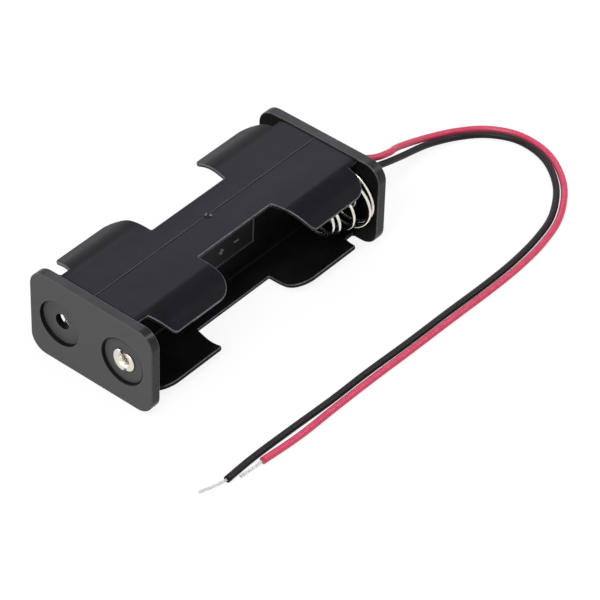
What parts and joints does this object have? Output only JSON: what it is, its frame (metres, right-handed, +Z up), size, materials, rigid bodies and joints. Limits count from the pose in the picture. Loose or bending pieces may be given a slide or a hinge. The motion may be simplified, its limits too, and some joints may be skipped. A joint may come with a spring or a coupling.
{
  "type": "cylindrical cell holder",
  "caption": "Open-sided black plastic holder for AA cells side by side, with conical contact springs, riveted contacts and red and black flying leads.",
  "frame": {"origin": "middle of the holder's underside, half way between the end plates and between the two cells", "axes": "+X across the two cells, +Y along the cells towards the end plate that the leads leave, +Z up out of the top flange"},
  "size_m": [0.0519, 0.1124, 0.0178],
  "materials": {
    "black_plastic": "black moulded polypropylene, satin on the flanges and finely textured on the end plates",
    "nickel_rivet": "nickel-plated brass, slightly dulled where it was spread",
    "spring_wire": "nickel-plated spring steel wire, bright with fine drawing marks",
    "tinned_tag": "tinned brass sheet, satin",
    "solder": "tin solder, smooth and a little uneven",
    "tinned_strands": "tinned twisted copper strands",
    "red_insulation": "soft red PVC, low sheen",
    "black_insulation": "soft black PVC, low sheen"
  },
  "bodies": {
    "holder": {"body": "black_plastic", "front_rivet": "nickel_rivet", "back_plus_rivet": "nickel_rivet", "back_minus_rivet": "nickel_rivet", "plus_tag": "tinned_tag", "minus_tag": "tinned_tag", "plus_solder": "solder", "minus_solder": "solder", "red_root": "tinned_strands", "red_lead": "red_insulation", "red_end": "tinned_strands", "black_root": "tinned_strands", "black_lead": "black_insulation", "black_end": "tinned_strands"},
    "front_spring_end": {"front_spring": "spring_wire"},
    "back_spring_end": {"back_spring": "spring_wire"}
  },
  "joints": [
    {"name": "front_spring_press", "type": "slide", "parent": "holder", "child": "front_spring_end", "axis": [0, -1, 0], "range_m": [0, 0.0045], "stiffness_N_per_m": 300, "deforming": ["front_spring"]},
    {"name": "back_spring_press", "type": "slide", "parent": "holder", "child": "back_spring_end", "axis": [0, 1, 0], "range_m": [0, 0.0045], "stiffness_N_per_m": 300, "deforming": ["back_spring"]}
  ]
}
